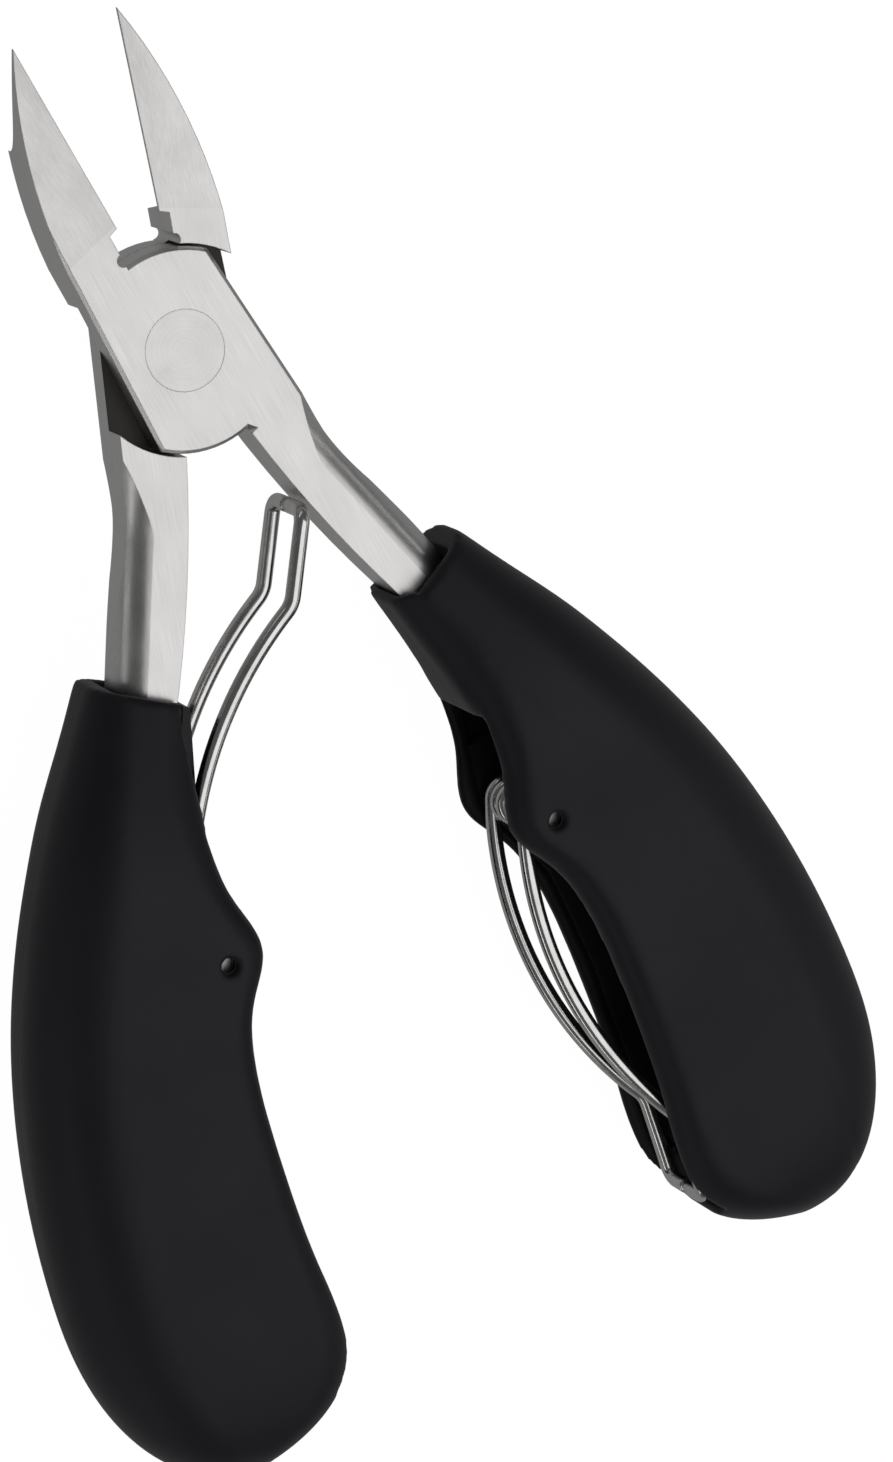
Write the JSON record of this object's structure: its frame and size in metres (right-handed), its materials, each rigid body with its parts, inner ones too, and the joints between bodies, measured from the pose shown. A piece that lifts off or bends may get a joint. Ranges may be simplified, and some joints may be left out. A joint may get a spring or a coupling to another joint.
{
  "type": "toenail nipper",
  "caption": "Lap-joint nail nipper: two steel levers on a flush rivet, long curved soft grips, and a wire leg spring in each grip.",
  "frame": {"origin": "on the pivot rivet's axis, at the flat rear face of the lap joint", "axes": "+Z along the rivet towards the front lever's face, +Y towards the blade tips, +X towards the right-hand grip"},
  "size_m": [0.0856, 0.1361, 0.0188],
  "materials": {
    "lever_steel": "fine satin brushing along the levers, polished edges",
    "rivet_steel": "satin, turned end faces",
    "spring_wire": "polished drawn wire",
    "pin_steel": "plain drawn pin",
    "grip_rubber": "matte soft-touch black",
    "liner_plastic": "matte moulded black"
  },
  "bodies": {
    "rear_half": {"rear_lever": "lever_steel", "pivot_rivet": "rivet_steel", "left_grip_liner": "liner_plastic", "left_grip_sleeve": "grip_rubber", "left_spring_pin": "pin_steel"},
    "front_half": {"front_lever": "lever_steel", "right_grip_liner": "liner_plastic", "right_grip_sleeve": "grip_rubber", "right_spring_pin": "pin_steel"},
    "left_spring": {"left_spring": "spring_wire"},
    "right_spring": {"right_spring": "spring_wire"}
  },
  "joints": [
    {"name": "lever_pivot", "type": "hinge", "parent": "rear_half", "child": "front_half", "pos_m": [0, 0, 0.0035], "axis": [0, 0, -1], "range_deg": [-6, 18.8], "stiffness_Nm_per_rad": 0.5},
    {"name": "left_spring_hinge", "type": "hinge", "parent": "rear_half", "child": "left_spring", "pos_m": [-0.01738, -0.0548, 0.0035], "axis": [0, 0, 1], "range_deg": [-3.3, 10.2]},
    {"name": "right_spring_hinge", "type": "hinge", "parent": "front_half", "child": "right_spring", "pos_m": [0.01738, -0.0548, 0.0035], "axis": [0, 0, -1], "range_deg": [0, 11]}
  ],
  "couplings": [
    {"joint": "left_spring_hinge", "follows": "lever_pivot", "ratio": 0.54}
  ]
}
